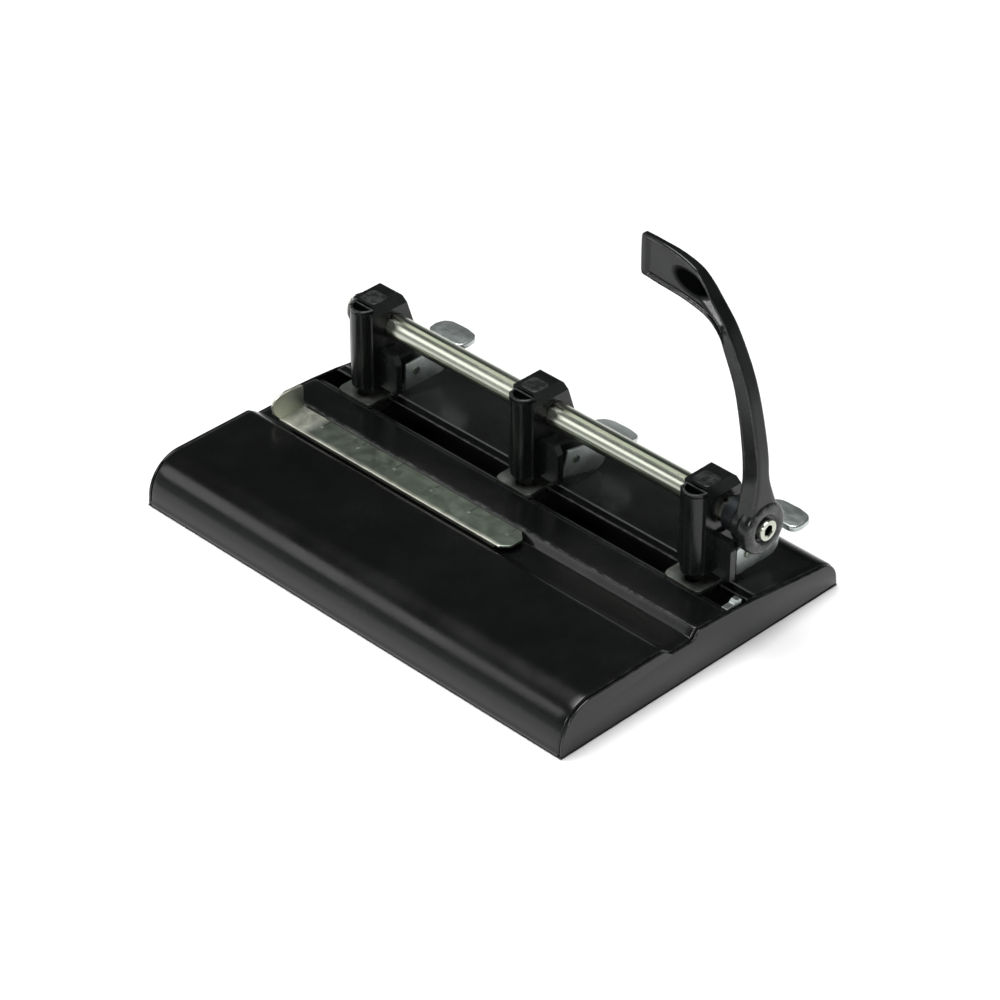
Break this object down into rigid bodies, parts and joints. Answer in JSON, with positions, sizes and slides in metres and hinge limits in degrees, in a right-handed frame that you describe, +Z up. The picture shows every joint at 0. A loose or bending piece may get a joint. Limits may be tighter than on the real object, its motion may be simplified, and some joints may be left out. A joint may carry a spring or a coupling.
{
  "type": "three-hole lever paper punch",
  "caption": "Desk paper punch: pressed steel base, sliding heads on a keyed shaft turned by a side lever, paper guide and chip tray.",
  "frame": {"origin": "middle of the flat underside of the chip tray", "axes": "+X to the lever end, +Y away from the user, +Z up"},
  "size_m": [0.2779, 0.183, 0.184],
  "materials": {
    "black_enamel": "semi-gloss black enamel on pressed steel",
    "black_cast": "satin black paint on die castings",
    "rubber": "matt black moulded rubber",
    "zinc": "zinc-plated steel, lightly brushed",
    "steel": "polished nickel-plated steel",
    "spring_steel": "bright spring steel",
    "black_oxide": "oil-blacked steel",
    "nylon": "black nylon"
  },
  "bodies": {
    "base": {"front_cover": "black_enamel", "rear_deck": "black_enamel", "end_plate_left": "black_enamel", "end_plate_right": "black_enamel", "rail_stop": "zinc"},
    "tray": {"chip_tray": "rubber"},
    "guide": {"paper_guide": "zinc", "guide_clip_left": "nylon", "guide_clip_right": "nylon"},
    "lever": {"shaft": "steel", "hand_lever": "black_cast", "hub_screw": "steel", "hub_spacer": "black_oxide", "retaining_ring": "spring_steel"},
    "head_left": {"head_left": "black_cast", "guide_cap_left": "black_cast", "die_plate_left": "zinc", "return_spring_left": "spring_steel", "lock_pivot_left": "steel"},
    "punch_left": {"punch_pin_left": "steel", "pin_clip_left": "spring_steel"},
    "gear_left": {"pinion_left": "black_oxide"},
    "lock_left": {"lock_lever_left": "zinc"},
    "head_middle": {"head_middle": "black_cast", "guide_cap_middle": "black_cast", "die_plate_middle": "zinc", "return_spring_middle": "spring_steel", "lock_pivot_middle": "steel"},
    "punch_middle": {"punch_pin_middle": "steel", "pin_clip_middle": "spring_steel"},
    "gear_middle": {"pinion_middle": "black_oxide"},
    "lock_middle": {"lock_lever_middle": "zinc"},
    "head_right": {"head_right": "black_cast", "guide_cap_right": "black_cast", "die_plate_right": "zinc", "return_spring_right": "spring_steel", "lock_pivot_right": "steel"},
    "punch_right": {"punch_pin_right": "steel", "pin_clip_right": "spring_steel"},
    "gear_right": {"pinion_right": "black_oxide"},
    "lock_right": {"lock_lever_right": "zinc"}
  },
  "joints": [
    {"name": "lever_press", "type": "hinge", "parent": "base", "child": "lever", "pos_m": [0, 0.0365, 0.06], "axis": [1, 0, 0], "range_deg": [0, 55]},
    {"name": "guide_slide", "type": "slide", "parent": "base", "child": "guide", "axis": [1, 0, 0], "range_m": [-0.012, 0.02]},
    {"name": "tray_release", "type": "slide", "parent": "base", "child": "tray", "axis": [0, 0, -1], "range_m": [0, 0.02]},
    {"name": "head_slide_left", "type": "slide", "parent": "base", "child": "head_left", "axis": [1, 0, 0], "range_m": [-0.006, 0.03]},
    {"name": "punch_stroke_left", "type": "slide", "parent": "head_left", "child": "punch_left", "axis": [0, 0, -1], "range_m": [0, 0.0098], "stiffness_N_per_m": 400, "springref_m": -0.008, "deforming": ["return_spring_left"]},
    {"name": "gear_turn_left", "type": "hinge", "parent": "head_left", "child": "gear_left", "pos_m": [-0.108, 0.0365, 0.06], "axis": [1, 0, 0], "range_deg": [0, 56]},
    {"name": "lock_flip_left", "type": "hinge", "parent": "head_left", "child": "lock_left", "pos_m": [-0.108, 0.0465, 0.032], "axis": [1, 0, 0], "range_deg": [-12, 14]},
    {"name": "head_slide_middle", "type": "slide", "parent": "base", "child": "head_middle", "axis": [1, 0, 0], "range_m": [-0.04, 0.04]},
    {"name": "punch_stroke_middle", "type": "slide", "parent": "head_middle", "child": "punch_middle", "axis": [0, 0, -1], "range_m": [0, 0.0098], "stiffness_N_per_m": 400, "springref_m": -0.008, "deforming": ["return_spring_middle"]},
    {"name": "gear_turn_middle", "type": "hinge", "parent": "head_middle", "child": "gear_middle", "pos_m": [0, 0.0365, 0.06], "axis": [1, 0, 0], "range_deg": [0, 56]},
    {"name": "lock_flip_middle", "type": "hinge", "parent": "head_middle", "child": "lock_middle", "pos_m": [0, 0.0465, 0.032], "axis": [1, 0, 0], "range_deg": [0, 26]},
    {"name": "head_slide_right", "type": "slide", "parent": "base", "child": "head_right", "axis": [1, 0, 0], "range_m": [-0.03, 0]},
    {"name": "punch_stroke_right", "type": "slide", "parent": "head_right", "child": "punch_right", "axis": [0, 0, -1], "range_m": [0, 0.0098], "stiffness_N_per_m": 400, "springref_m": -0.008, "deforming": ["return_spring_right"]},
    {"name": "gear_turn_right", "type": "hinge", "parent": "head_right", "child": "gear_right", "pos_m": [0.108, 0.0365, 0.06], "axis": [1, 0, 0], "range_deg": [0, 56]},
    {"name": "lock_flip_right", "type": "hinge", "parent": "head_right", "child": "lock_right", "pos_m": [0.108, 0.0465, 0.032], "axis": [1, 0, 0], "range_deg": [-12, 14]}
  ],
  "couplings": [
    {"joint": "punch_stroke_left", "follows": "lever_press", "m_per_rad": 0.01},
    {"joint": "gear_turn_left", "follows": "lever_press", "ratio": 1},
    {"joint": "punch_stroke_middle", "follows": "lever_press", "m_per_rad": 0.01},
    {"joint": "gear_turn_middle", "follows": "lever_press", "ratio": 1},
    {"joint": "punch_stroke_right", "follows": "lever_press", "m_per_rad": 0.01},
    {"joint": "gear_turn_right", "follows": "lever_press", "ratio": 1}
  ]
}
